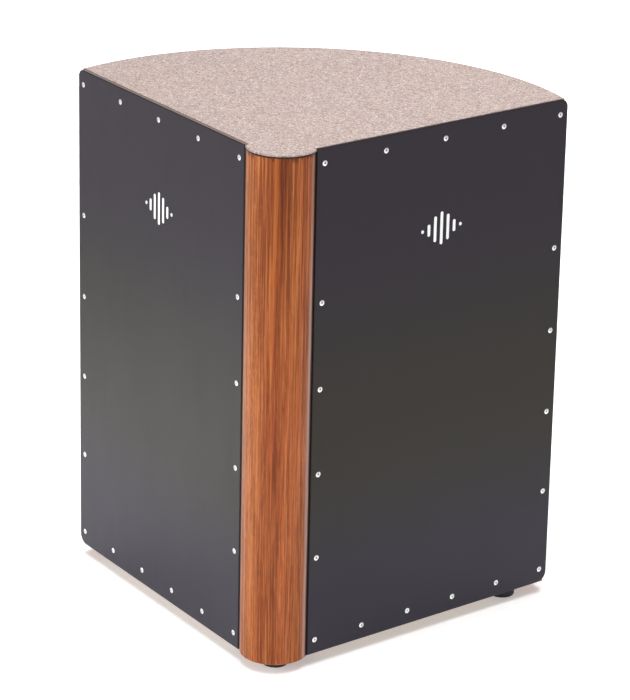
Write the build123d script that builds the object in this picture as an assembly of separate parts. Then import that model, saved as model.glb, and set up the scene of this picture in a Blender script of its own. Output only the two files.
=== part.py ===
from build123d import *

import os
from math import cos, exp, radians, sin

# Three-sided cajon: two flat playing panels meet a rounded post, and a bent back closes the box.
#
# Row frame: +Z up, the origin on the floor under the middle of the bounding box, the post towards -Y.
# The plan is drawn from the apex, the vertical line where the outer planes of the two panels would meet.
# Beside a panel a place is (s, z, n): s along the panel from the apex, z up from the floor, and n outwards
# from the panel's outer face, so that n is negative inside the box. Everything is in millimetres.

# Plan
HALF_ANGLE = 42.5  # between each panel and the plane of symmetry
NOSE_CENTRE = 41.45  # from the apex to the axis of the rounded post
NOSE_R = 30.65
SEAT_OVERHANG = 0.6  # the seat surface stands this far proud of the post
BACK_CENTRE = 117.0  # from the apex to the axis of the bent back
BACK_R = 254.0
BACK_T = 6.5
Y_MIDDLE = (NOSE_CENTRE - NOSE_R - SEAT_OVERHANG + BACK_CENTRE + BACK_R) / 2  # from the apex to the origin

# Heights
FOOT_H = 9.4
BASE = FOOT_H  # underside of the boards, post, battens and back
PANEL_BASE = 11.0
TOP = 477.0
SEAT_T = 1.8
SHELL_TOP = TOP - SEAT_T
BOARD_T = 18.0

# Playing panels
PANEL_T = 3.2
PANEL_START = 46.4  # s of the edge beside the post
PANEL_END = 330.0
TOP_CORNER_R = 7.0
BASE_CORNER_R = 10.0
EDGE_EASE = 0.5

# Seat surface
SEAT_R = NOSE_R + SEAT_OVERHANG
SEAT_GAP = 0.6  # between the seat and a panel
SEAT_EDGE_R = 0.6

# Post and corner battens
POST_GAP = 0.8  # shadow gap between the post's shoulder and a panel
POST_SIDE_S = 64.0
POST_SIDE_N = -32.0
POST_EASE = 0.8
BATTEN_S = 300.0
BATTEN_N = -28.0
REBATE_N = -16.0  # the bent back ends here, in the batten's rebate

# Panel screws
SCREW_S_IN = 54.3
SCREW_S_OUT = 321.2
SCREW_EDGE = 13.2  # rows in from the panel's top and bottom edges
TOP_ROW = 5
BASE_ROW = 6
FIRST_DROP = 124.2  # from the top row to the next screw down
SIDE_SCREWS = 4
HEAD_R = 2.5
HEAD_DOME = 0.45
SHANK_R = 1.25
SCREW_LENGTH = 16.0
SCREW_POINT = 3.0
RECESS_SIZE = 2.8
RECESS_W = 0.7
RECESS_DEPTH = 1.3
RECESS_TAPER = 0.6  # size of a cross recess at its floor, as a share of its mouth
CLEARANCE = 0.05
SHANK_HOLE_R = 1.5
PILOT_DEPTH = 17.0
OVERRUN = 1.0  # a cutter runs this far past the face it starts from

# Sound hole
HOLE_R = 55.0
HOLE_Z = 170.0

# Feet
FOOT_R = 12.2
FOOT_BASE_R = 11.6
FOOT_EDGE_R = 1.5
FOOT_WELL_R = 5.6
FOOT_WELL_DEPTH = 6.0
WASHER_R = 5.2
WASHER_T = 1.2
FOOT_SCREW_R = 2.0
FOOT_SCREW_LENGTH = 19.0
FOOT_SCREW_POINT = 4.0
FOOT_HEAD_R = 4.0
FOOT_HEAD_H = 2.6
FOOT_RECESS_SIZE = 4.4
FOOT_RECESS_W = 1.0
FOOT_RECESS_DEPTH = 1.6
FOOT_PILOT_DEPTH = 17.0
FRONT_FOOT_X = 2.0
FRONT_FOOT_Y = 37.0  # from the apex
REAR_FOOT_S = 293.0
RIGHT_FOOT_N = -19.7
LEFT_FOOT_N = -30.0

# Snare unit behind the right panel
BAR_FRONT_N = -15.0
BAR_T = 15.0
BAR_H = 24.0
BAR_Z = 322.0
BAR_EASE = 1.5
STRANDS = 10
STRAND_R = 0.9
STRAND_PITCH = 4.2
STRAND_LENGTH = 104.0
STRAND_OVERLAP = 8.0
CLIP_W = 46.0
CLIP_H = 16.0
CLIP_T = 1.2
END_STRIP_H = 9.0
END_STRIP_T = 0.8
SNARE_LEAN = 4.2  # degrees, up and towards the panel
SNARE_SPREAD = 8.0  # degrees, each set away from the middle
SNARE_S = (128.0, 236.0)
CLIP_SCREW_X = 17.0
CLIP_SCREW_Y = 4.0

# Angle brackets under the ends of the snare bar, and the small pan head screws
BRACKET_ARM = 20.0
BRACKET_W = 10.0
BRACKET_T = 1.6
BRACKET_HOLE_AT = 14.0
SMALL_SCREW_R = 1.5
SMALL_SCREW_LENGTH = 10.0
SMALL_SCREW_POINT = 2.0
SMALL_HEAD_R = 2.9
SMALL_HEAD_H = 1.6
SMALL_RECESS_SIZE = 3.2
SMALL_RECESS_W = 0.8
SMALL_RECESS_DEPTH = 1.1
PAN_FLAT = 0.6  # the flat top of a pan head, as a share of the head's radius
PAN_RIM = 0.45  # the straight rim of a pan head, as a share of its height

# Emblem on each panel: upright bars, tallest in the middle
EMBLEM_S = 186.0
EMBLEM_Z = 383.0
EMBLEM_T = 0.25
EMBLEM_H = 30.0
EMBLEM_BARS = 7
EMBLEM_BAR_W = 3.0
EMBLEM_PITCH = 7.2
EMBLEM_SPREAD = 2.0  # bars from the middle to where the height has fallen to 1/e

FAR = 600.0  # further than any side of the plan

ALPHA = radians(HALF_ANGLE)


# --- frames and plan regions ----------------------------------------------------------------------


def panel_plane():
    """The right panel's outer face: local X is s, local Y is z and local Z is n."""
    return Plane(
        origin=(0, -Y_MIDDLE, 0),
        x_dir=(sin(ALPHA), cos(ALPHA), 0),
        z_dir=(cos(ALPHA), -sin(ALPHA), 0),
    )


def on_panel(shape):
    """Carries a shape drawn in (s, z, n) to the right panel."""
    return panel_plane().location * shape


def left_of(shape):
    """The same piece on the left side."""
    return mirror(shape, about=Plane.YZ)


def plan_point(s, n):
    """A place (s, n) beside the right panel, in plan from the apex."""
    return (s * sin(ALPHA) + n * cos(ALPHA), s * cos(ALPHA) - n * sin(ALPHA))


def side_region(s0, s1, n0, n1):
    """A rectangle beside the right panel, in plan from the apex."""
    corners = [plan_point(s0, n0), plan_point(s1, n0), plan_point(s1, n1), plan_point(s0, n1)]
    return make_face(Polyline(*corners, close=True))


def both_sides(region):
    return region + mirror(region, about=Plane.YZ)


def wedge(depth):
    """Everything between the two panels that lies at least depth behind their outer faces."""
    tip = (0, depth / sin(ALPHA))
    far_right = plan_point(FAR, -depth)
    return make_face(Polyline(tip, far_right, (-far_right[0], far_right[1]), close=True))


def behind(y):
    """The half of the plan that lies behind y, measured from the apex."""
    return Pos(0, y + FAR / 2) * Rectangle(2 * FAR, FAR)


def disc(centre_y, radius):
    return Pos(0, centre_y) * Circle(radius)


def tall(region, z0, z1):
    """A plan region, drawn from the apex, made solid between two heights."""
    return Pos(0, -Y_MIDDLE, z0) * extrude(region, z1 - z0)


# --- plan sections --------------------------------------------------------------------------------


def panel_slots(gap):
    """Where the two panels lie beside the post, with a gap at their edge and behind them."""
    return both_sides(side_region(PANEL_START - gap, FAR, -PANEL_T, FAR))


def post_corner():
    """The plan corner where the right side of the post meets its flat rear face."""
    return plan_point(POST_SIDE_S, POST_SIDE_N)


def front_region():
    """Everything in front of the post's sides and rear face."""
    x, y = post_corner()
    far_x, far_y = plan_point(POST_SIDE_S, NOSE_R)
    return make_face(Polyline((0, -NOSE_R), (far_x, far_y), (x, y), (-x, y), (-far_x, far_y), close=True))


def post_section():
    """A round nose with a shoulder and a flat land for each panel, and a straight-sided body behind."""
    behind_centre = wedge(PANEL_T) & behind(NOSE_CENTRE)
    body = (disc(NOSE_CENTRE, NOSE_R) + behind_centre) & front_region()
    return body - panel_slots(POST_GAP)


def batten_section():
    """The right corner batten: full depth by the panel, rebated for the bent back further in."""
    outer = side_region(BATTEN_S, FAR, REBATE_N, -PANEL_T) & disc(BACK_CENTRE, BACK_R)
    inner = side_region(BATTEN_S, FAR, BATTEN_N, REBATE_N) & disc(BACK_CENTRE, BACK_R - BACK_T)
    return outer + inner


def board_section():
    """The top and bottom boards, notched round the post and the battens."""
    whole = wedge(PANEL_T) & disc(BACK_CENTRE, BACK_R - BACK_T)
    return whole - front_region() - both_sides(batten_section())


def back_section():
    return (disc(BACK_CENTRE, BACK_R) - disc(BACK_CENTRE, BACK_R - BACK_T)) & wedge(-REBATE_N)


def seat_section():
    body = wedge(PANEL_T + SEAT_GAP) & disc(BACK_CENTRE, BACK_R) & behind(NOSE_CENTRE - SEAT_GAP)
    slots = both_sides(side_region(PANEL_START - SEAT_GAP, FAR, -PANEL_T - SEAT_GAP, FAR))
    return body + (disc(NOSE_CENTRE, SEAT_R) - slots)


# --- screws ---------------------------------------------------------------------------------------


def spread(first, last, count):
    step = (last - first) / (count - 1)
    return [first + step * i for i in range(count)]


def screw_places():
    """(s, z) of each screw of one panel: five along the top, six along the bottom, four up each side."""
    top, base = TOP - SCREW_EDGE, PANEL_BASE + SCREW_EDGE
    places = [(s, top) for s in spread(SCREW_S_IN, SCREW_S_OUT, TOP_ROW)]
    places += [(s, base) for s in spread(SCREW_S_IN, SCREW_S_OUT, BASE_ROW)]
    side_heights = spread(top - FIRST_DROP, base, SIDE_SCREWS + 1)[:-1]
    places += [(s, z) for z in side_heights for s in (SCREW_S_IN, SCREW_S_OUT)]
    return places


def turned(points):
    """A solid of revolution about Z from (radius, z) points."""
    return revolve(make_face(Plane.XZ * Polyline(*points, close=True)), Axis.Z)


def cross_recess(size, width, depth, top):
    """The cutter for a cross recess in a screw head, tapering as it goes down."""
    floor = Rectangle(size * RECESS_TAPER, width * RECESS_TAPER)
    slot = loft([Pos(0, 0, top - depth) * floor, Pos(0, 0, top) * Rectangle(size, width)])
    return slot + Rot(0, 0, 90) * slot


def pan_head_screw(head_r, head_h, shank_r, length, point):
    """A pan head screw: its head rises to +Z from z 0 and its shank runs down."""
    return turned(
        [
            (0, head_h),
            (head_r * PAN_FLAT, head_h),
            (head_r, head_h * PAN_RIM),
            (head_r, 0),
            (shank_r, 0),
            (shank_r, point - length),
            (0, -length),
        ]
    )


def panel_screw():
    """A raised countersunk wood screw pointing to -Z, its head's rim at z 0."""
    profile = make_face(
        Plane.XZ
        * (
            TangentArc((0, HEAD_DOME), (HEAD_R, 0), tangent=(1, 0))
            + Polyline(
                (HEAD_R, 0),
                (SHANK_R, SHANK_R - HEAD_R),
                (SHANK_R, SCREW_POINT - SCREW_LENGTH),
                (0, -SCREW_LENGTH),
                (0, HEAD_DOME),
            )
        )
    )
    body = revolve(profile, Axis.Z)
    return body - cross_recess(RECESS_SIZE, RECESS_W, RECESS_DEPTH, HEAD_DOME)


def panel_screws():
    screw = panel_screw()
    return on_panel(Compound([Pos(s, z, 0) * screw for s, z in screw_places()]))


def clearance_holes():
    """45 degree countersunk holes through a panel, in (s, z, n)."""
    cutter = turned(
        [
            (0, OVERRUN),
            (HEAD_R + CLEARANCE, OVERRUN),
            (HEAD_R + CLEARANCE, 0),
            (SHANK_HOLE_R, SHANK_HOLE_R - HEAD_R - CLEARANCE),
            (SHANK_HOLE_R, -PANEL_T - OVERRUN),
            (0, -PANEL_T - OVERRUN),
        ]
    )
    return [Pos(s, z, 0) * cutter for s, z in screw_places()]


def pilot_holes():
    """Pilot holes for both panels' screws, in the row frame."""
    drill = Cylinder(SHANK_R + CLEARANCE, PILOT_DEPTH, align=(Align.CENTER, Align.CENTER, Align.MAX))
    right = [on_panel(Pos(s, z, 0) * drill) for s, z in screw_places()]
    return right + [left_of(hole) for hole in right]


# --- shell pieces ---------------------------------------------------------------------------------


def panel():
    """The right playing panel."""
    mid_s, mid_z = (PANEL_START + PANEL_END) / 2, (PANEL_BASE + TOP) / 2
    outline = Pos(mid_s, mid_z) * Rectangle(PANEL_END - PANEL_START, TOP - PANEL_BASE)
    outer = outline.vertices().group_by(Axis.X)[-1].sort_by(Axis.Y)
    outline = fillet(outer[0], BASE_CORNER_R)
    top_outer = outline.vertices().group_by(Axis.Y)[-1].sort_by(Axis.X)[-1]
    outline = fillet(top_outer, TOP_CORNER_R)
    sheet = Pos(0, 0, -PANEL_T) * extrude(outline, PANEL_T)
    sheet = chamfer(sheet.faces().sort_by(Axis.Z)[-1].edges(), EDGE_EASE)
    return on_panel(sheet - clearance_holes())


def front_post():
    """The post, its rounded front eased at the top and the bottom."""
    post = tall(post_section(), BASE, SHELL_TOP)
    arcs = [e for e in post.edges().filter_by(GeomType.CIRCLE) if e.center().Y < NOSE_CENTRE - Y_MIDDLE]
    return chamfer(arcs, POST_EASE) - pilot_holes()


def corner_batten():
    return tall(batten_section(), BASE, SHELL_TOP) - pilot_holes()


def board(z0):
    return tall(board_section(), z0, z0 + BOARD_T) - pilot_holes()


def sound_hole():
    return Pos(0, Y_MIDDLE, HOLE_Z) * Rot(90, 0, 0) * Cylinder(HOLE_R, 2 * Y_MIDDLE)


def back():
    return tall(back_section(), BASE, SHELL_TOP) - sound_hole()


def seat():
    sheet = tall(seat_section(), SHELL_TOP, TOP)
    return fillet(sheet.faces().sort_by(Axis.Z)[-1].edges(), SEAT_EDGE_R)


# --- feet -----------------------------------------------------------------------------------------


def foot_places():
    right_x, right_y = plan_point(REAR_FOOT_S, RIGHT_FOOT_N)
    left_x, left_y = plan_point(REAR_FOOT_S, LEFT_FOOT_N)
    return {
        "front": (FRONT_FOOT_X, FRONT_FOOT_Y - Y_MIDDLE),
        "right": (right_x, right_y - Y_MIDDLE),
        "left": (-left_x, left_y - Y_MIDDLE),
    }


def foot():
    """A rubber foot with a well for its washer and screw, standing on z 0."""
    body = turned([(0, 0), (FOOT_BASE_R, 0), (FOOT_R, FOOT_H), (0, FOOT_H)])
    body = fillet(body.edges().group_by(Axis.Z)[0], FOOT_EDGE_R)
    well = Pos(0, 0, FOOT_WELL_DEPTH / 2) * Cylinder(FOOT_WELL_R, FOOT_WELL_DEPTH)
    return body - well - Pos(0, 0, FOOT_H / 2) * Cylinder(FOOT_SCREW_R + CLEARANCE, FOOT_H)


def foot_washer():
    ring = Cylinder(WASHER_R, WASHER_T) - Cylinder(FOOT_SCREW_R + CLEARANCE, WASHER_T)
    return Pos(0, 0, FOOT_WELL_DEPTH - WASHER_T / 2) * ring


def foot_screw():
    """A pan head screw, driven up through the washer and the foot."""
    screw = pan_head_screw(FOOT_HEAD_R, FOOT_HEAD_H, FOOT_SCREW_R, FOOT_SCREW_LENGTH, FOOT_SCREW_POINT)
    screw -= cross_recess(FOOT_RECESS_SIZE, FOOT_RECESS_W, FOOT_RECESS_DEPTH, FOOT_HEAD_H)
    return Pos(0, 0, FOOT_WELL_DEPTH - WASHER_T) * Rot(180, 0, 0) * screw


def foot_drillings():
    drill = Cylinder(
        FOOT_SCREW_R + CLEARANCE, FOOT_PILOT_DEPTH, align=(Align.CENTER, Align.CENTER, Align.MIN)
    )
    return [Pos(x, y, BASE) * drill for x, y in foot_places().values()]


# --- snare unit -----------------------------------------------------------------------------------


def snare_bar():
    """A wooden bar across the box behind the right panel, from the post to the corner batten."""
    length = BATTEN_S - POST_SIDE_S
    bar = Pos((BATTEN_S + POST_SIDE_S) / 2, BAR_Z + BAR_H / 2, BAR_FRONT_N - BAR_T / 2) * Box(
        length, BAR_H, BAR_T
    )
    return on_panel(chamfer(bar.edges().filter_by(Axis.X), BAR_EASE))


def bracket(at_s, way):
    """An angle bracket under one end of the bar; way is +1 where the bar runs towards the batten."""
    n = BAR_FRONT_N - BAR_T / 2
    upright = Pos(at_s + way * BRACKET_T / 2, BAR_Z - BRACKET_ARM / 2, n) * Box(
        BRACKET_T, BRACKET_ARM, BRACKET_W
    )
    shelf = Pos(at_s + way * BRACKET_ARM / 2, BAR_Z - BRACKET_T / 2, n) * Box(
        BRACKET_ARM, BRACKET_T, BRACKET_W
    )
    return upright + shelf


def bracket_screw_frames():
    """Where each bracket screw goes: its head outside the bracket, pointing into the wood."""
    n = BAR_FRONT_N - BAR_T / 2
    frames = []
    for at_s, way in ((POST_SIDE_S, 1), (BATTEN_S, -1)):
        frames.append(Pos(at_s + way * BRACKET_HOLE_AT, BAR_Z - BRACKET_T, n) * Rot(90, 0, 0))
        frames.append(Pos(at_s + way * BRACKET_T, BAR_Z - BRACKET_HOLE_AT, n) * Rot(0, 90 * way, 0))
    return frames


def small_screw():
    screw = pan_head_screw(
        SMALL_HEAD_R, SMALL_HEAD_H, SMALL_SCREW_R, SMALL_SCREW_LENGTH, SMALL_SCREW_POINT
    )
    return screw - cross_recess(SMALL_RECESS_SIZE, SMALL_RECESS_W, SMALL_RECESS_DEPTH, SMALL_HEAD_H)


def small_screw_hole():
    length = SMALL_SCREW_LENGTH + OVERRUN
    return Cylinder(SMALL_SCREW_R + CLEARANCE, length, align=(Align.CENTER, Align.CENTER, Align.MAX))


def snare_frame(at_s, way):
    """The frame of one strand set: X across it, Y up its strands, Z towards the panel."""
    return Pos(at_s, BAR_Z + BAR_H - CLIP_H, BAR_FRONT_N) * Rot(0, 0, -way * SNARE_SPREAD)


def clip_plate():
    return Pos(0, CLIP_H / 2, CLIP_T / 2) * Box(CLIP_W, CLIP_H, CLIP_T)


def strand_lean():
    """Strands rise from the clip plate's front and lean towards the panel."""
    return Pos(0, CLIP_H - STRAND_OVERLAP, CLIP_T + STRAND_R) * Rot(SNARE_LEAN, 0, 0)


def strands():
    """Straight strands, side by side."""
    half = STRAND_PITCH * (STRANDS - 1) / 2
    rod = Rot(-90, 0, 0) * Cylinder(STRAND_R, STRAND_LENGTH, align=(Align.CENTER, Align.CENTER, Align.MIN))
    return Compound([strand_lean() * Pos(x, 0, 0) * rod for x in spread(-half, half, STRANDS)])


def end_strip():
    """The strip that ties the strands' free ends, on the side away from the panel."""
    middle = Pos(0, STRAND_LENGTH - END_STRIP_H / 2, -STRAND_R - END_STRIP_T / 2)
    return strand_lean() * middle * Box(CLIP_W, END_STRIP_H, END_STRIP_T)


def clip_screw_frames():
    return [Pos(x, CLIP_SCREW_Y, CLIP_T) for x in (-CLIP_SCREW_X, CLIP_SCREW_X)]


def snare_sets():
    return [snare_frame(SNARE_S[0], -1), snare_frame(SNARE_S[1], 1)]


def snare_nodes():
    """Every piece of the snare unit, by name."""
    made = {}
    drill = small_screw_hole()
    screw = small_screw()
    clip_places = [frame * place for frame in snare_sets() for place in clip_screw_frames()]
    bracket_places = bracket_screw_frames()
    bar_drills = [on_panel(place * drill) for place in clip_places + bracket_places]
    made["snare_bar"] = snare_bar() - bar_drills
    brackets = [bracket(POST_SIDE_S, 1), bracket(BATTEN_S, -1)]
    drilled = [b - [place * drill for place in bracket_places] for b in brackets]
    made["snare_bar_brackets"] = on_panel(Compound(drilled))
    made["snare_bracket_screws"] = on_panel(Compound([place * screw for place in bracket_places]))
    made["snare_clip_screws"] = on_panel(Compound([place * screw for place in clip_places]))
    for name, frame in zip(("inner", "outer"), snare_sets()):
        plate = frame * clip_plate() - [place * drill for place in clip_places]
        made[f"snare_clip_{name}"] = on_panel(plate)
        made[f"snare_strands_{name}"] = on_panel(frame * strands())
        made[f"snare_end_strip_{name}"] = on_panel(frame * end_strip())
    return made


# --- emblem ---------------------------------------------------------------------------------------


def emblem():
    """A row of round-ended upright bars, tallest in the middle, as a thin raised transfer."""
    half = EMBLEM_BARS // 2
    bars = Sketch()
    for i in range(-half, half + 1):
        height = EMBLEM_H * exp(-((i / EMBLEM_SPREAD) ** 2))
        bars += Pos(i * EMBLEM_PITCH, 0) * Rot(0, 0, 90) * SlotOverall(height, EMBLEM_BAR_W)
    return on_panel(Pos(EMBLEM_S, EMBLEM_Z) * extrude(bars, EMBLEM_T))


# --- assembly -------------------------------------------------------------------------------------


def nodes():
    feet = foot_places()
    drillings = foot_drillings()
    right_panel, right_screws, right_emblem = panel(), panel_screws(), emblem()
    right_batten = corner_batten()
    bracket_drills = [on_panel(place * small_screw_hole()) for place in bracket_screw_frames()]
    made = {
        "seat_surface": seat(),
        "top_board": board(SHELL_TOP - BOARD_T),
        "bottom_board": board(BASE) - drillings,
        "front_post": front_post() - drillings - bracket_drills,
        "right_corner_batten": right_batten - bracket_drills,
        "left_corner_batten": left_of(right_batten),
        "back_panel": back(),
        "right_panel": right_panel,
        "left_panel": left_of(right_panel),
        "right_panel_screws": right_screws,
        "left_panel_screws": left_of(right_screws),
        "right_emblem": right_emblem,
        "left_emblem": left_of(right_emblem),
    }
    for name, (x, y) in feet.items():
        made[f"{name}_foot"] = Pos(x, y) * foot()
    made["foot_washers"] = Compound([Pos(x, y) * foot_washer() for x, y in feet.values()])
    made["foot_screws"] = Compound([Pos(x, y) * foot_screw() for x, y in feet.values()])
    return made | snare_nodes()


def main():
    os.makedirs("parts", exist_ok=True)
    for name, shape in nodes().items():
        export_step(shape, f"parts/{name}.step")


main()
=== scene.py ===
import math
import random

import bmesh
import bpy
import numpy as np
from mathutils import Matrix, Vector
from mathutils.geometry import delaunay_2d_cdt


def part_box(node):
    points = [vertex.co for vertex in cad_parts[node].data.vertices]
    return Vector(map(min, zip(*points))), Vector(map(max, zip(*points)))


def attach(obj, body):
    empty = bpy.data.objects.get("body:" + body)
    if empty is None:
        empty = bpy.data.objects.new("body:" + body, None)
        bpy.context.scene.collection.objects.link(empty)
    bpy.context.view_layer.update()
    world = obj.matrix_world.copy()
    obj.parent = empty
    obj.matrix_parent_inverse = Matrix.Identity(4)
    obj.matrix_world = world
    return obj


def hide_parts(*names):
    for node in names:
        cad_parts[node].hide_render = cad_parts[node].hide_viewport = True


# The looks of a three-sided cajon: black lacquered playing panels, a rounded hardwood post, a bent
# veneered back and a cork and rubber seat. Metres, +Z up, the post towards -Y.

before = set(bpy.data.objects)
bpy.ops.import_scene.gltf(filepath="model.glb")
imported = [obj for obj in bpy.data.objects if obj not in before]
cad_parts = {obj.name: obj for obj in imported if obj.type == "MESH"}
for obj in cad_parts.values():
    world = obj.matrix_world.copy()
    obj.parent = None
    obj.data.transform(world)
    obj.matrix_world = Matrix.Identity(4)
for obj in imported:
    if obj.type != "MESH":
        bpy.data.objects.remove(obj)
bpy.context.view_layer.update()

MM = 0.001
HALF_ANGLE = math.radians(42.5)  # between each playing panel and the plane of symmetry
RIGHT_OUT = Vector((math.cos(HALF_ANGLE), -math.sin(HALF_ANGLE), 0))
LEFT_OUT = Vector((-RIGHT_OUT.x, RIGHT_OUT.y, 0))

# Camera
CAMERA_AT = Vector((0.4351, -2.7425, 1.2410))
CAMERA_AZIMUTH = math.radians(8.85)
CAMERA_ELEVATION = math.radians(19.80)
CAMERA_ROLL = math.radians(1.23)
CAMERA_LENS = 167.2  # mm
SENSOR_WIDTH = 36.0  # mm
CAMERA_SEES = 100.0  # past the floor's corners

# Seat surface
SEAT_GRAIN = 1.7 * MM  # spacing of the surface's points
SEAT_SCATTER = 0.35  # how far a point strays, as a share of the spacing
SEAT_MARGIN = 0.6  # clear space between the rim and the points, as a share of the spacing
SEAT_RIM_STEP = 2.2 * MM  # spacing of the points round the rim
SEAT_RELIEF = 0.13 * MM  # how far a point rises or sinks
SEAT_EDGE_R = 0.5 * MM  # radius of the eased edge
SEAT_EDGE_STEPS = 4
SEAT_SEED = 7
SEAT_NOSE_END = -0.152  # y where the rounded nose meets the straight sides
SEAT_INSET = 3.8 * MM  # from a playing panel's outer face to the sheet's straight edge
SAME_POINT = 1e-6
SAME_CORNER = 1e-7  # points closer than this are one, when the sheet is filled with triangles
INSIDE_ONLY = 1  # how it is filled: with triangles, and only inside its outline
MITRE_LIMIT = 0.5  # holds back how far a sharp corner moves inwards

# Floor
FLOOR_HALF = 40.0
FLOOR_PALE = (0.82, 0.82, 0.82)
FLOOR_SHADE = (0.80, 0.80, 0.80)
GLOW_FROM, GLOW_TO = 1.3, 2.1  # distances from the origin between which the floor's glow grows
GLOW_NEAR, GLOW_FAR = 0.33, 0.8

# Studio
STUDIO_TINT = (1.0, 0.995, 0.99, 1.0)
STUDIO_STRENGTH = 0.22


# --- node graphs --------------------------------------------------------------------------------

# The Mix node's colour sockets
MIX_A, MIX_B, MIX_RESULT = 6, 7, 2


class Graph:
    """Builds one material's nodes. A value given to a call is a socket, or a constant set on it."""

    def __init__(self, name):
        self.material = bpy.data.materials.new(name)
        self.material.use_nodes = True
        self.tree = self.material.node_tree
        self.tree.nodes.clear()
        self.output = self.tree.nodes.new("ShaderNodeOutputMaterial")
        self.shader = self.tree.nodes.new("ShaderNodeBsdfPrincipled")
        self.tree.links.new(self.shader.outputs[0], self.output.inputs[0])
        self.place = self.node("ShaderNodeTexCoord").outputs["Object"]

    def node(self, kind, **settings):
        made = self.tree.nodes.new(kind)
        for key, value in settings.items():
            setattr(made, key, value)
        return made

    def put(self, socket, value):
        if isinstance(value, bpy.types.NodeSocket):
            self.tree.links.new(value, socket)
        elif isinstance(value, (tuple, list)) and len(socket.default_value) == 4:
            socket.default_value = (*value[:3], 1.0)
        else:
            socket.default_value = value

    def maths(self, operation, a, b=0.0):
        made = self.node("ShaderNodeMath", operation=operation)
        self.put(made.inputs[0], a)
        self.put(made.inputs[1], b)
        return made.outputs[0]

    def between(self, value, low, high, out_low=0.0, out_high=1.0, smooth=True):
        """Maps value from low..high to out_low..out_high, held at the ends."""
        kind = "SMOOTHSTEP" if smooth else "LINEAR"
        made = self.node("ShaderNodeMapRange", interpolation_type=kind)
        for socket, given in zip(made.inputs, (value, low, high, out_low, out_high)):
            self.put(socket, given)
        return made.outputs[0]

    def mix(self, factor, a, b, blend="MIX"):
        made = self.node("ShaderNodeMix", data_type="RGBA", blend_type=blend)
        self.put(made.inputs[0], factor)
        self.put(made.inputs[MIX_A], a)
        self.put(made.inputs[MIX_B], b)
        return made.outputs[MIX_RESULT]

    def ramp(self, value, *stops):
        made = self.node("ShaderNodeValToRGB")
        elements = made.color_ramp.elements
        while len(elements) < len(stops):
            elements.new(0.5)
        for element, (position, colour) in zip(elements, stops):
            element.position = position
            element.color = (*colour, 1.0)
        self.put(made.inputs[0], value)
        return made.outputs[0]

    def along(self, direction):
        """How far a place lies along a direction, in metres."""
        made = self.node("ShaderNodeVectorMath", operation="DOT_PRODUCT")
        self.put(made.inputs[0], self.place)
        made.inputs[1].default_value = direction
        return made.outputs["Value"]

    def facing(self, direction):
        """1 where the surface faces a direction, -1 where it faces away."""
        made = self.node("ShaderNodeVectorMath", operation="DOT_PRODUCT")
        self.put(made.inputs[0], self.node("ShaderNodeNewGeometry").outputs["True Normal"])
        made.inputs[1].default_value = direction
        return made.outputs["Value"]

    def stretched(self, x, y, z, turn=0.0, shift=(0.0, 0.0, 0.0)):
        """The place scaled by x, y and z after a turn about Z."""
        turned = self.node("ShaderNodeMapping", vector_type="TEXTURE")
        self.put(turned.inputs["Vector"], self.place)
        turned.inputs["Rotation"].default_value = (0, 0, turn)
        scaled = self.node("ShaderNodeMapping")
        self.put(scaled.inputs["Vector"], turned.outputs[0])
        scaled.inputs["Scale"].default_value = (x, y, z)
        scaled.inputs["Location"].default_value = shift
        return scaled.outputs[0]

    def sway(self, amount, across, up):
        """Moves the place sideways by up to amount, in waves so many to the metre across and up."""
        waves = self.node("ShaderNodeTexNoise")
        self.put(waves.inputs["Vector"], self.stretched(across, across, up))
        self.put(waves.inputs["Scale"], 1.0)
        moved = self.node("ShaderNodeVectorMath", operation="MULTIPLY_ADD")
        self.put(moved.inputs[0], waves.outputs["Color"])
        moved.inputs[1].default_value = (2 * amount, 2 * amount, 0)
        self.put(moved.inputs[2], self.place)
        self.place = moved.outputs[0]

    def noise(self, vector, scale=1.0, detail=3.0, rough=0.55, distortion=0.0):
        made = self.node("ShaderNodeTexNoise")
        self.put(made.inputs["Vector"], vector)
        self.put(made.inputs["Scale"], scale)
        self.put(made.inputs["Detail"], detail)
        self.put(made.inputs["Roughness"], rough)
        self.put(made.inputs["Distortion"], distortion)
        return made.outputs["Fac"]

    def cells(self, vector, scale):
        made = self.node("ShaderNodeTexVoronoi")
        self.put(made.inputs["Vector"], vector)
        self.put(made.inputs["Scale"], scale)
        return made

    def split(self, colour):
        """The three channels of a colour."""
        made = self.node("ShaderNodeSeparateColor")
        self.put(made.inputs[0], colour)
        return made.outputs

    def bump(self, height, distance, strength):
        made = self.node("ShaderNodeBump")
        self.put(made.inputs["Height"], height)
        made.inputs["Distance"].default_value = distance
        made.inputs["Strength"].default_value = strength
        return made.outputs[0]

    def finish(self, **inputs):
        """Sets the shader's sockets, each named with underscores for spaces."""
        for name, value in inputs.items():
            self.put(self.shader.inputs[name.replace("_", " ")], value)
        return self.material


# --- materials ----------------------------------------------------------------------------------

# Plywood
BIRCH_PALE = (0.50, 0.34, 0.20)
BIRCH_DARK = (0.27, 0.155, 0.082)
GLUE_LINE = (0.075, 0.038, 0.020)
FIBRE_DARK = (0.20, 0.11, 0.055)
PANEL_T, PANEL_PLIES = 3.2, 3  # mm
BOARD_T, BOARD_PLIES = 18, 13  # mm

# Black lacquer with a painted reflection tint, which changes with height between the two pairs of
# heights
LACQUER_LOW = (0.0130, 0.0088, 0.0210)
LACQUER_MIDDLE = (0.0145, 0.0105, 0.0070)
LACQUER_HIGH = (0.0140, 0.0088, 0.0165)
LOW_TO_MIDDLE = (0.06, 0.18)
MIDDLE_TO_HIGH = (0.24, 0.38)
LACQUER_DUST = (0.16, 0.155, 0.15)
LACQUER_SPECULAR = 0.285
LACQUER_WRAP = (0.8, 1.2)  # mm of a panel's edge that the lacquer covers, from its face inwards
# Panel edges: a dark stain on the right panel's edges, a pale painted sheen on the left panel's edges
# in place of the stain
EDGE_STAIN = (0.012, 0.008, 0.007)
EDGE_SHEEN = (0.150, 0.125, 0.108)
EDGE_COVER = 0.97  # how much of a panel's plies the stain hides

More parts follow.
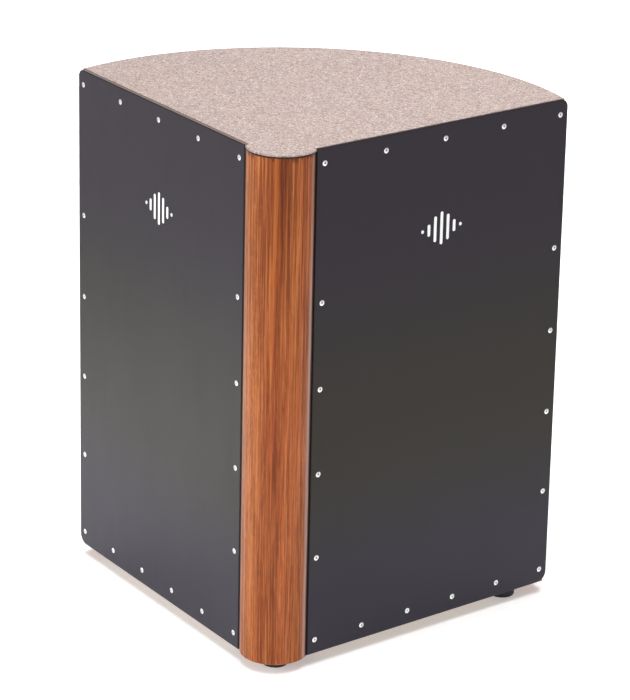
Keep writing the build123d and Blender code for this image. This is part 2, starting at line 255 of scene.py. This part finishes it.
# Hardwood colours, each darkened by its wood's tone
GOLDEN = (0.535, 0.140, 0.016)
RED = (0.535, 0.118, 0.026)
BROWN = (0.250, 0.052, 0.007)
DARK = (0.120, 0.024, 0.005)
PALE = (0.760, 0.255, 0.058)
PINK = (0.800, 0.290, 0.105)
HEART_TINT = (0.52, 0.37, 0.16)
# The next two: a painted highlight along the post's sides, and the colour of painted shade lines on the
# post and seat
EDGE_HIGHLIGHT = (0.46, 0.34, 0.31)
SHADE_DARK = (0.020, 0.008, 0.005)

# The post's figure, painted sheen, painted highlight and painted shade, across from its middle
HEART_AT = 4 * MM
HEART_CORE, HEART_REACH = 1 * MM, 9 * MM
HEART_DRIFT = 4 * MM
# painted sheen on the post's left side, paler and pinker
SHEEN_FROM, SHEEN_TO = -22 * MM, -6 * MM
# painted highlight strip beside each of the post's side lines
HIGHLIGHT_FROM, HIGHLIGHT_TO = 27.0 * MM, 28.6 * MM
# painted shade lines down the post's sides, in the gaps beside the panels
SIDE_SHADE_FROM, SIDE_SHADE_TO = 29.2 * MM, 29.7 * MM

# Seat granules: the share of them that is darker than each colour
COARSE_GRANULES = (
    (0.0, (0.082, 0.056, 0.051)), (0.14, (0.212, 0.157, 0.144)), (0.32, (0.323, 0.246, 0.224)),
    (0.72, (0.399, 0.315, 0.289)), (0.92, (0.559, 0.476, 0.438)),
)
FINE_GRANULES = (
    (0.0, (0.048, 0.034, 0.033)), (0.12, (0.179, 0.128, 0.121)), (0.32, (0.332, 0.253, 0.231)),
    (0.75, (0.399, 0.315, 0.289)), (0.93, (0.655, 0.571, 0.528)),
)
SEAT_COOL = (0.332, 0.256, 0.261)
SEAT_WARM = (0.342, 0.264, 0.219)

# Small parts
SCREW_PLATING = (0.93, 0.93, 0.91)
ZINC = (0.60, 0.61, 0.62)
SHADE_AND_DIRT = (0.03, 0.03, 0.03)
RUBBER = (0.012, 0.012, 0.0125)
RUBBER_SCUFF = (0.055, 0.052, 0.050)
INK = (0.95, 0.95, 0.95)
THIN_INK = (0.75, 0.75, 0.75)
PINE_RINGS = (
    (0.35, (0.60, 0.43, 0.25)), (0.55, (0.50, 0.33, 0.17)), (0.62, (0.34, 0.19, 0.085)),
)
PINE_FIBRE = (0.30, 0.18, 0.09)


def ply_layers(g, depth, thickness, plies):
    """The edge of a plywood sheet: plies across its thickness, every other one end grain."""
    ply = g.maths("MULTIPLY", depth, plies / thickness)
    odd = g.between(g.maths("PINGPONG", ply, 1.0), 0.42, 0.58)
    fibre = g.noise(g.place, 900, 4)
    wood = g.mix(odd, BIRCH_PALE, BIRCH_DARK)
    wood = g.mix(g.between(fibre, 0.35, 0.7, 0.0, 0.55), wood, FIBRE_DARK)
    off_glue = g.maths("ABSOLUTE", g.maths("SUBTRACT", g.maths("PINGPONG", ply, 1.0), 0.5))
    glue = g.between(off_glue, 0.03, 0.10, 0.7, 0.0)
    return g.mix(glue, wood, GLUE_LINE)


def lacquered_panel(name, out, start, edge_tone, edge_stain_and_sheen):
    """Satin black lacquer on a thin plywood sheet. start is where its outer face lies along out, and
    edge_tone is how much the edge colour hides the plies along its top edge; that colour is a dark
    stain on the right panel and a pale painted sheen on the left."""
    g = Graph(name)
    depth = g.maths("MULTIPLY", g.maths("SUBTRACT", start, g.along(out)), 1 / MM)
    turn = math.atan2(out.y, out.x)
    up = g.along((0, 0, 1))
    smear = g.noise(g.stretched(20, 30, 9, turn), 1, 5, 0.6, 0.6)
    peel = g.noise(g.place, 520, 2)
    telegraph = g.noise(g.stretched(260, 260, 9, turn), 1, 4, 0.6)
    speck = g.between(g.cells(g.place, 260).outputs["Distance"], 0.035, 0.075, 1.0, 0.0)
    dust = g.maths("MULTIPLY", speck, g.between(g.noise(g.place, 40, 2), 0.55, 0.75))
    # painted reflection tint: the black's hue changes with height
    black = g.mix(g.between(up, *LOW_TO_MIDDLE), LACQUER_LOW, LACQUER_MIDDLE)
    black = g.mix(g.between(up, *MIDDLE_TO_HIGH), black, LACQUER_HIGH)
    black = g.mix(g.maths("MULTIPLY", dust, 0.3), black, LACQUER_DUST)
    bare = g.between(depth, *LACQUER_WRAP)
    inside = g.between(g.facing(out), -0.9, -0.8, 1.0, 0.0)
    top = g.between(g.facing((0, 0, 1)), 0.8, 0.9)
    layers = ply_layers(g, depth, PANEL_T, PANEL_PLIES)
    # the edge colour: a dark stain on the right panel, a painted sheen on the left
    edge = g.mix(g.between(top, 0, 1, EDGE_COVER, edge_tone), layers, edge_stain_and_sheen)
    grain = g.noise(g.stretched(330, 330, 6, turn), 1, 6, 0.62)
    veneer = g.mix(g.between(grain, 0.3, 0.72), BIRCH_PALE, BIRCH_DARK)
    colour = g.mix(bare, black, g.mix(inside, edge, veneer))
    shine = g.between(smear, 0.25, 0.75, 0.30, 0.40, smooth=False)
    rough = g.maths("ADD", g.maths("MULTIPLY", bare, 0.6), shine)
    height = g.maths("ADD", g.maths("MULTIPLY", peel, 0.35), g.maths("MULTIPLY", telegraph, 0.65))
    return g.finish(
        Base_Color=colour,
        Roughness=rough,
        Normal=g.bump(height, 0.05 * MM, 0.5),
        IOR=1.5,
        Specular_IOR_Level=LACQUER_SPECULAR,
    )


def hardwood(name, tone, gloss, top=None):
    """Orange-brown hardwood with upright grain under a clear coat. The post, whose top is given, has a
    dark heart stripe right of its middle, a pale pink painted sheen on its left, and painted shade
    lines round its edges with a painted highlight beside the side lines."""
    g = Graph(name)
    golden, red, brown, dark, pale, pink = (
        tuple(tone * channel for channel in colour)
        for colour in (GOLDEN, RED, BROWN, DARK, PALE, PINK)
    )
    heart, left_sheen = 0.0, 0.0
    if top is not None:
        heart, left_sheen = heart_and_sheen(g, top)
    g.sway(0.35 * MM, 40, 14)
    hue = g.noise(g.stretched(60, 60, 2.2, 0, (7.7, 3.4, 5.2)), 1, 2, 0.5, 0.2)
    column = g.noise(g.stretched(75, 75, 1.3, 0, (3.1, 9.4, 2.6)), 1, 2, 0.5, 0.2)
    band = g.noise(g.stretched(170, 170, 4, 0, (1.3, 6.2, 0.7)), 1, 2, 0.5, 0.3)
    streak = g.noise(g.stretched(600, 600, 7), 1, 2, 0.5, 0.1)
    fibre = g.noise(g.stretched(950, 950, 16, 0, (2.9, 1.1, 4.3)), 1, 2)
    dash = g.noise(g.stretched(1100, 1100, 60, 0, (8.3, 0.8, 6.1)), 1, 2, 0.5)
    pore = g.noise(g.stretched(1700, 1700, 60, 0, (1.7, 8.1, 0.6)), 1, 2, 0.5)
    ray = g.noise(g.stretched(560, 560, 150, 0, (5.5, 2.7, 7.3)), 1, 3, 0.6, 0.8)
    figured = g.between(left_sheen, 0.0, 0.4, 0.2, 1.0)
    colour = g.mix(g.between(hue, 0.34, 0.66), red, golden)
    colour = g.mix(g.between(column, 0.48, 0.64, 0.0, 0.60), colour, brown)
    # painted sheen: the post's left side paler and pinker
    colour = g.mix(left_sheen, colour, pink)
    for noise, low, high, amount, other in (
        (band, 0.48, 0.66, 0.60, brown), (band, 0.46, 0.28, 0.25, pink),
        (streak, 0.51, 0.63, 0.60, brown), (streak, 0.47, 0.34, 0.35, pale),
        (fibre, 0.52, 0.65, 0.45, dark), (fibre, 0.47, 0.34, 0.45, pink),
        (dash, 0.53, 0.68, 0.25, dark), (dash, 0.46, 0.32, 0.25, pale),
        (pore, 0.62, 0.72, 0.60, dark),
    ):
        colour = g.mix(g.between(noise, low, high, 0.0, amount), colour, other)
    pale_ray = g.maths("MULTIPLY", g.between(ray, 0.52, 0.68, 0.0, 0.40), figured)
    dark_ray = g.maths("MULTIPLY", g.between(ray, 0.46, 0.32, 0.0, 0.30), figured)
    colour = g.mix(dark_ray, g.mix(pale_ray, colour, pink), brown)
    if top is not None:
        striped = g.between(g.along((0, 0, 1)), 0.5 * top, top)
        narrow = g.between(streak, 0.50, 0.60, 0.0, 0.65)
        wide = g.between(band, 0.50, 0.60, 0.0, 0.60)
        pale_stripe = g.between(streak, 0.49, 0.38, 0.0, 0.55)
        dark_stripe = g.maths("MAXIMUM", narrow, wide)
        colour = g.mix(g.maths("MULTIPLY", striped, dark_stripe), colour, brown)
        colour = g.mix(g.maths("MULTIPLY", striped, pale_stripe), colour, pale)
        colour = g.mix(heart, colour, HEART_TINT, blend="MULTIPLY")
        # painted shade and painted highlights round the post's edges
        colour = painted_post_edges(g, top, colour, dark)
    relief = g.maths("SUBTRACT", g.maths("MULTIPLY", fibre, 0.5), g.between(pore, 0.62, 0.72))
    return g.finish(
        Base_Color=colour,
        Roughness=g.between(fibre, 0.3, 0.7, 0.42, 0.58, smooth=False),
        Specular_IOR_Level=0.05,
        Normal=g.bump(relief, 0.05 * MM, 0.4),
        Coat_Weight=gloss,
        Coat_Roughness=0.2,
        Coat_IOR=1.48,
        Coat_Normal=g.bump(fibre, 0.03 * MM, 0.25),
    )


def heart_and_sheen(g, top):
    """How much of the post is dark heartwood and how much carries a pale painted sheen on its left,
    most of both near its top.
    """
    up = g.along((0, 0, 1))
    drift = g.noise(g.stretched(22, 22, 3.5), 1, 2)
    drifted = g.between(drift, 0.3, 0.7, -HEART_DRIFT, HEART_DRIFT, smooth=False)
    across = g.maths("ADD", g.along((1, 0, 0)), drifted)
    off_heart = g.maths("ABSOLUTE", g.maths("SUBTRACT", across, HEART_AT))
    heart = g.between(off_heart, HEART_CORE, HEART_REACH, 1.0, 0.0)
    left_sheen = g.between(across, SHEEN_FROM, SHEEN_TO, 1.0, 0.0)
    return (
        g.maths("MULTIPLY", heart, g.between(up, 0.0, top, 0.15, 1.0)),
        g.maths("MULTIPLY", left_sheen, g.between(up, 0.0, top, 0.28, 0.5)),
    )


def painted_post_edges(g, top, colour, dark):
    """Paints shade on the post's wood: in patches below its top under the seat's overhang, a line round
    the top itself and lines down both sides in the gaps beside the panels, with a painted highlight
    strip beside each side's line."""
    up = g.along((0, 0, 1))
    # painted shade in patches below the top, under the seat's overhang
    shade_patches = g.noise(g.stretched(330, 330, 60), 1, 3)
    shade_from = g.between(shade_patches, 0.43, 0.58, top - 2 * MM, top - 8 * MM)
    shaded_below_top = g.mix(g.between(up, shade_from, top - 1.5 * MM, 0.0, 0.85), colour, dark)
    # painted shadow line round the top, under the seat's edge
    rim = g.between(up, top - 1.7 * MM, top - 1.0 * MM, 0.0, 0.95)
    across = g.maths("ABSOLUTE", g.along((1, 0, 0)))
    # painted highlight: a pale strip beside each side line, stronger lower down
    highlight_amount = g.between(up, 0.6 * top, 0.9 * top, 0.5, 0.2)
    highlighted = g.mix(g.between(across, HIGHLIGHT_FROM, HIGHLIGHT_TO, 0.0, highlight_amount), shaded_below_top, EDGE_HIGHLIGHT)
    # painted shade lines down both sides, in the gaps beside the panels
    side = g.between(across, SIDE_SHADE_FROM, SIDE_SHADE_TO, 0.0, 0.85)
    return g.mix(g.maths("MAXIMUM", rim, side), highlighted, SHADE_DARK)


def seat_granules(sides):
    """Pressed cork and rubber granules, pale grey-pink with dark and cream ones among them. Each of
    sides is (outward, where its straight edge lies along that, how dark the painted shade along the
    edge is)."""
    g = Graph("seat_granules")
    coarse = g.cells(g.place, 520)
    fine = g.cells(g.place, 1150)
    coarse_pick = g.split(coarse.outputs["Color"])
    fine_pick = g.split(fine.outputs["Color"])
    warm = g.between(g.noise(g.place, 14, 3), 0.40, 0.60)
    colour = g.mix(warm, SEAT_COOL, SEAT_WARM)
    colour = g.mix(0.72, colour, g.ramp(coarse_pick[0], *COARSE_GRANULES))
    colour = g.mix(0.55, colour, g.ramp(fine_pick[0], *FINE_GRANULES))
    behind_nose = g.between(g.along((0, 1, 0)), SEAT_NOSE_END - 1 * MM, SEAT_NOSE_END)
    for out, edge, amount in sides:
        # painted shade along the seat's straight edges, behind the nose
        edge_shade = g.between(g.along(out), edge - 2.0 * MM, edge - 0.8 * MM, 0.0, amount)
        colour = g.mix(g.maths("MULTIPLY", edge_shade, behind_nose), colour, SHADE_DARK)
    hump = g.maths("MULTIPLY", coarse.outputs["Distance"], -1.0)
    pit = g.maths("MULTIPLY", fine.outputs["Distance"], -0.5)
    height = g.maths("ADD", g.maths("ADD", hump, pit), g.noise(g.place, 2600, 2))
    return g.finish(
        Base_Color=colour,
        Roughness=g.between(fine_pick[1], 0, 1, 0.72, 0.95, smooth=False),
        Normal=g.bump(height, 0.35 * MM, 0.6),
        IOR=1.45,
    )


def plated_steel(name, colour, rough, out=None, crest=0.0):
    """Bright plated steel with fine turning marks and a little tarnish. Where out is given, the heads'
    rims lie crest along it, and the steel further in, in the countersinks and recesses, is painted dark
    with shade and dirt."""
    g = Graph(name)
    marks = g.noise(g.place, 3800, 3)
    tarnish = g.noise(g.place, 160, 3)
    dull = tuple(c * 0.62 for c in colour)
    plating = g.mix(g.between(tarnish, 0.45, 0.75, 0.0, 0.7), colour, dull)
    if out is not None:
        depth = g.maths("SUBTRACT", crest, g.along(out))
        # painted shade with dirt, in the countersinks and cross recesses
        plating = g.mix(g.between(depth, 0.40 * MM, 0.75 * MM), plating, SHADE_AND_DIRT)
    return g.finish(
        Base_Color=plating,
        Metallic=1.0,
        Roughness=g.between(tarnish, 0.3, 0.8, rough, rough + 0.22, smooth=False),
        Normal=g.bump(marks, 0.02 * MM, 0.5),
    )


def foot_rubber():
    """Matt black moulded rubber with pale scuffs."""
    g = Graph("foot_rubber")
    grain = g.noise(g.place, 1500, 4)
    scuff = g.noise(g.stretched(90, 90, 300), 1, 5, 0.65)
    return g.finish(
        Base_Color=g.mix(g.between(scuff, 0.55, 0.8, 0.0, 0.6), RUBBER, RUBBER_SCUFF),
        Roughness=g.between(grain, 0.3, 0.7, 0.55, 0.8, smooth=False),
        Normal=g.bump(grain, 0.08 * MM, 0.5),
    )


def emblem_print():
    """White screen-printed ink, a little thin in places."""
    g = Graph("emblem_print")
    thin = g.noise(g.place, 620, 5, 0.7)
    grain = g.noise(g.place, 2400, 2)
    return g.finish(
        Base_Color=g.mix(g.between(thin, 0.62, 0.85, 0.0, 0.55), INK, THIN_INK),
        Roughness=g.between(grain, 0.3, 0.7, 0.40, 0.55, smooth=False),
        Normal=g.bump(grain, 0.02 * MM, 0.5),
    )


def board_plywood():
    """Sanded birch plywood lying flat: layered edges, long grain across X on its faces."""
    g = Graph("board_plywood")
    up = g.facing((0, 0, 1))
    flat = g.between(g.maths("ABSOLUTE", up), 0.5, 0.8)
    height = g.maths("MULTIPLY", g.along((0, 0, 1)), 1 / MM)
    layers = ply_layers(g, height, BOARD_T, BOARD_PLIES)
    grain = g.noise(g.stretched(5, 220, 220), 1, 6, 0.62, 0.3)
    face = g.mix(g.between(grain, 0.3, 0.72), BIRCH_PALE, BIRCH_DARK)
    return g.finish(
        Base_Color=g.mix(flat, layers, face),
        Roughness=g.between(grain, 0.3, 0.7, 0.5, 0.7, smooth=False),
        Normal=g.bump(grain, 0.06 * MM, 0.5),
    )


def softwood():
    """Planed pale softwood with growth rings running along the panel's side."""
    g = Graph("softwood")
    turn = math.atan2(RIGHT_OUT.y, RIGHT_OUT.x)
    ring = g.noise(g.stretched(160, 3, 160, turn), 1, 3, 0.5, 0.6)
    fibre = g.noise(g.stretched(900, 20, 900, turn), 1, 4)
    wood = g.ramp(ring, *PINE_RINGS)
    return g.finish(
        Base_Color=g.mix(g.between(fibre, 0.4, 0.7, 0.0, 0.4), wood, PINE_FIBRE),
        Roughness=g.between(fibre, 0.3, 0.7, 0.5, 0.75, smooth=False),
        Normal=g.bump(fibre, 0.05 * MM, 0.5),
    )


def dress(node, material):
    """Gives a CAD node its material by its object's slots."""
    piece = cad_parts[node]
    if not piece.material_slots:
        piece.data.materials.append(material)
    for slot in piece.material_slots:
        slot.link = "OBJECT"
        slot.material = material


def face_along(node, out):
    """Where a node's outermost face lies along a direction."""
    return max(vertex.co.dot(out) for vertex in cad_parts[node].data.vertices)


# --- seat surface -------------------------------------------------------------------------------


def underside_outline(node):
    """The outline of a flat node's underside, as points in order."""
    mesh = bmesh.new()
    mesh.from_mesh(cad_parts[node].data)
    bmesh.ops.remove_doubles(mesh, verts=mesh.verts, dist=SAME_POINT)
    under = {face for face in mesh.faces if face.normal.z < -0.9}
    rim = [edge for edge in mesh.edges if sum(face in under for face in edge.link_faces) == 1]
    neighbours = {}
    for edge in rim:
        a, b = edge.verts
        neighbours.setdefault(a, []).append(b)
        neighbours.setdefault(b, []).append(a)
    first = min(neighbours, key=lambda v: (round(v.co.y, 6), v.co.x))
    walk, before, here = [first], None, first
    while True:
        after = next(v for v in neighbours[here] if v is not before)
        if after is first:
            break
        walk.append(after)
        before, here = here, after
    points = [Vector((v.co.x, v.co.y)) for v in walk]
    mesh.free()
    area = sum(a.x * b.y - b.x * a.y for a, b in zip(points, points[1:] + points[:1]))
    return points if area > 0 else points[::-1]


def evenly(points, step):
    """A closed outline with extra points so that no edge is much longer than step."""
    fine = []
    for a, b in zip(points, points[1:] + points[:1]):
        count = max(1, round((b - a).length / step))
        fine += [a.lerp(b, i / count) for i in range(count)]
    return fine


def inward(points, distance):
    """A closed anticlockwise outline moved inwards."""
    moved = []
    for before, here, after in zip(points[-1:] + points[:-1], points, points[1:] + points[:1]):
        into, away = (here - before).normalized(), (after - here).normalized()
        left = Vector((-into.y, into.x))
        normal = left + Vector((-away.y, away.x))
        if normal.length < SAME_POINT:
            normal = left.copy()
        normal.normalize()
        moved.append(here + normal * distance / max(MITRE_LIMIT, normal.dot(left)))
    return moved


def inside_outline(points, outline):
    """Whether each point is inside a closed outline, by counting crossings."""
    px = np.array([p.x for p in points])
    py = np.array([p.y for p in points])
    inside = np.zeros(len(points), bool)
    for a, b in zip(outline, outline[1:] + outline[:1]):
        if a.y == b.y:
            continue
        crosses = (a.y > py) != (b.y > py)
        at = (b.x - a.x) * (py - a.y) / (b.y - a.y) + a.x
        inside ^= crosses & (px < at)
    return inside


def scattered(low, high, draw):
    """Points over a box, in staggered rows, each a little out of its place."""
    points = []
    for row in range(int((high[1] - low[1]) / SEAT_GRAIN)):
        for column in range(int((high[0] - low[0]) / SEAT_GRAIN)):
            stray_x = draw.uniform(-SEAT_SCATTER, SEAT_SCATTER)
            stray_y = draw.uniform(-SEAT_SCATTER, SEAT_SCATTER)
            x = low[0] + (column + 0.5 * (row % 2) + stray_x) * SEAT_GRAIN
            y = low[1] + (row + stray_y) * SEAT_GRAIN
            points.append(Vector((x, y)))
    return points


def edges_of(face):
    return [frozenset((a, b)) for a, b in zip(face, face[1:] + face[:1])]


def within_loop(faces, loop):
    """The faces inside a loop of edges: those with a corner off the loop, and all that they reach
    without crossing it."""
    walls = {frozenset(edge) for edge in loop}
    beside = {}
    for index, face in enumerate(faces):
        for edge in edges_of(face):
            beside.setdefault(edge, []).append(index)
    found = {index for index, face in enumerate(faces) if max(face) >= len(loop)}
    fresh = list(found)
    while fresh:
        for edge in edges_of(faces[fresh.pop()]):
            reached = set() if edge in walls else set(beside[edge]) - found
            found |= reached
            fresh += reached
    return [face for index, face in enumerate(faces) if index in found]


def filled(rim, inner):
    """Triangles over a closed outline and the points inside it: all the points, and each triangle's."""
    count = len(rim)
    loop = [(i, (i + 1) % count) for i in range(count)]
    points, _, faces, *_ = delaunay_2d_cdt(rim + inner, loop, [], INSIDE_ONLY, SAME_CORNER, True)
    return points, within_loop(faces, loop)


def skirt(mesh, above, outline, z):
    """Joins a ring of vertices to a new ring below it, and gives back the new one."""
    below = [mesh.verts.new((p.x, p.y, z)) for p in outline]
    count = len(above)
    for i in range(count):
        j = (i + 1) % count
        mesh.faces.new([above[i], below[i], below[j], above[j]])
    return below


def seat_mesh():
    """The seat's sheet with an eased edge and a pebbled top of real relief."""
    draw = random.Random(SEAT_SEED)
    low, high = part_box("seat_surface")
    outline = evenly(underside_outline("seat_surface"), SEAT_RIM_STEP)
    rim = inward(outline, SEAT_EDGE_R)
    inner = scattered(low, high, draw)
    margin = inward(outline, SEAT_EDGE_R + SEAT_MARGIN * SEAT_GRAIN)
    kept = [p for p, inside in zip(inner, inside_outline(inner, margin)) if inside]
    points, faces = filled(rim, kept)
    top = high[2] - SEAT_RELIEF
    mesh = bmesh.new()
    made = [mesh.verts.new((p.x, p.y, top)) for p in points]
    for face in faces:
        mesh.faces.new([made[i] for i in face])
    above, pebbled = made[:len(rim)], made[len(rim):]
    for vertex in pebbled:
        vertex.co.z += SEAT_RELIEF * draw.uniform(-1.0, 1.0)
    for step in range(1, SEAT_EDGE_STEPS + 1):
        angle = math.pi / 2 * step / SEAT_EDGE_STEPS
        ring_at = inward(outline, SEAT_EDGE_R * (1 - math.sin(angle)))
        z = top - SEAT_EDGE_R * (1 - math.cos(angle))
        above = skirt(mesh, above, ring_at, z)
    above = skirt(mesh, above, outline, low[2])
    mesh.faces.new(above[::-1])
    for face in mesh.faces:
        face.smooth = True
    bmesh.ops.recalc_face_normals(mesh, faces=mesh.faces)
    data = bpy.data.meshes.new("seat_sheet")
    mesh.to_mesh(data)
    mesh.free()
    return data


def add_seat():
    """The seat's sheet, in place of the CAD one."""
    seat = bpy.data.objects.new("seat_sheet", seat_mesh())
    bpy.context.scene.collection.objects.link(seat)
    # painted shade along the seat's straight edges, darker on the left
    seat.data.materials.append(seat_granules([
        (RIGHT_OUT, face_along("right_panel", RIGHT_OUT) - SEAT_INSET, 0.35),
        (LEFT_OUT, face_along("left_panel", LEFT_OUT) - SEAT_INSET, 0.75),
    ]))
    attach(seat, "root")
    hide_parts("seat_surface")


# --- dressing the frame -------------------------------------------------------------------------


def dress_frame():
    """Gives every CAD node that shows its material."""
    # the left panel's edges get a pale painted sheen, the right panel's a dark stain
    for side, out, edge_tone, edge_stain_and_sheen in (
        ("right", RIGHT_OUT, 0.97, EDGE_STAIN), ("left", LEFT_OUT, 0.85, EDGE_SHEEN)
    ):
        panel = f"{side}_panel"
        start = face_along(panel, out)
        dress(panel, lacquered_panel(f"{side}_lacquer", out, start, edge_tone, edge_stain_and_sheen))
        screws = f"{side}_panel_screws"
        crest = face_along(screws, out)
        dress(screws, plated_steel(f"{side}_screw_steel", SCREW_PLATING, 0.30, out, crest))
    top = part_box("front_post")[1][2]
    dress("front_post", hardwood("post_hardwood", 0.69, 0.36, top))
    batten_wood = hardwood("side_hardwood", 0.75, 0.4)
    for node in ("left_corner_batten", "right_corner_batten"):
        dress(node, batten_wood)
    dress("back_panel", hardwood("back_veneer", 0.75, 0.4))
    board = board_plywood()
    for node in ("top_board", "bottom_board"):
        dress(node, board)
    rubber = foot_rubber()
    for node in ("front_foot", "left_foot", "right_foot"):
        dress(node, rubber)
    ink = emblem_print()
    for node in ("left_emblem", "right_emblem"):
        dress(node, ink)
    dress("snare_bar", softwood())
    zinc = plated_steel("zinc_steel", ZINC, 0.36)
    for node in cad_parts:
        if node.startswith(("foot_", "snare_")) and node != "snare_bar":
            dress(node, zinc)


# --- stage, light and camera --------------------------------------------------------------------


def add_floor():
    """A white paper floor that glows a little, more so far from the object."""
    data = bpy.data.meshes.new("floor")
    signs = ((-1, -1), (1, -1), (1, 1), (-1, 1))
    data.from_pydata([(x * FLOOR_HALF, y * FLOOR_HALF, 0) for x, y in signs], [], [(0, 1, 2, 3)])
    floor = bpy.data.objects.new("floor", data)
    bpy.context.scene.collection.objects.link(floor)
    g = Graph("floor_paper")
    tooth = g.noise(g.place, 300, 3)
    away = g.node("ShaderNodeVectorMath", operation="LENGTH")
    g.put(away.inputs[0], g.place)
    floor.data.materials.append(g.finish(
        Base_Color=g.mix(g.between(tooth, 0.3, 0.7), FLOOR_SHADE, FLOOR_PALE),
        Roughness=0.9,
        Emission_Color=(1.0, 1.0, 1.0),
        Emission_Strength=g.between(away.outputs["Value"], GLOW_FROM, GLOW_TO, GLOW_NEAR, GLOW_FAR),
    ))


def add_light(name, at, target, size, watts, spread=180.0):
    """An area light of size (across, along) at a place, facing a target. Its spread is in degrees."""
    light = bpy.data.lights.new(name, "AREA")
    light.shape = "RECTANGLE"
    light.size, light.size_y = size
    light.energy = watts
    light.spread = math.radians(spread)
    lamp = bpy.data.objects.new(name, light)
    lamp.location = at
    lamp.rotation_euler = (Vector(target) - Vector(at)).to_track_quat("-Z", "Y").to_euler()
    bpy.context.scene.collection.objects.link(lamp)


def add_lights():
    """A pale studio: a long light overhead, one behind, one over the floor at the left, a key and a
    fill."""
    world = bpy.data.worlds.new("studio")
    world.use_nodes = True
    background = world.node_tree.nodes["Background"]
    background.inputs["Color"].default_value = STUDIO_TINT
    background.inputs["Strength"].default_value = STUDIO_STRENGTH
    bpy.context.scene.world = world
    add_light("overhead", (0.12, 0.5, 2.2), (0.12, 0.5, 0), size=(1.0, 4.5), watts=36.3, spread=96)
    add_light("back", (0, 3.0, 2.4), (0, 3.0, 0), size=(2.0, 1.2), watts=16, spread=70)
    floor_spot = (-0.62, 0.1, 0)
    add_light("left_floor", (-0.62, 0.1, 1.0), floor_spot, size=(0.4, 0.6), watts=1.0, spread=60)
    add_light("key", (-2.0, -1.8, 1.1), (0, -0.1, 0.37), size=(1.2, 1.2), watts=6.0, spread=60)
    add_light("right_fill", (1.8, -2.0, 1.1), (0.1, -0.1, 0.25), size=(1.2, 1.2), watts=9)


def add_camera():
    """A camera with a roll about its own line of sight."""
    sin, cos = math.sin, math.cos
    back = Vector((
        sin(CAMERA_AZIMUTH) * cos(CAMERA_ELEVATION),
        -cos(CAMERA_AZIMUTH) * cos(CAMERA_ELEVATION),
        sin(CAMERA_ELEVATION),
    ))
    level_right = Vector((cos(CAMERA_AZIMUTH), sin(CAMERA_AZIMUTH), 0))
    level_up = back.cross(level_right)
    right = cos(CAMERA_ROLL) * level_right + sin(CAMERA_ROLL) * level_up
    up = cos(CAMERA_ROLL) * level_up - sin(CAMERA_ROLL) * level_right
    data = bpy.data.cameras.new("camera")
    data.lens = CAMERA_LENS
    data.sensor_width = SENSOR_WIDTH
    data.clip_end = CAMERA_SEES
    camera = bpy.data.objects.new("camera", data)
    turn = Matrix((right, up, back)).transposed().to_4x4()
    camera.matrix_world = Matrix.Translation(CAMERA_AT) @ turn
    bpy.context.scene.collection.objects.link(camera)
    bpy.context.scene.camera = camera


add_camera()
add_lights()
add_floor()
dress_frame()
add_seat()
bpy.context.scene.view_settings.view_transform = "Standard"
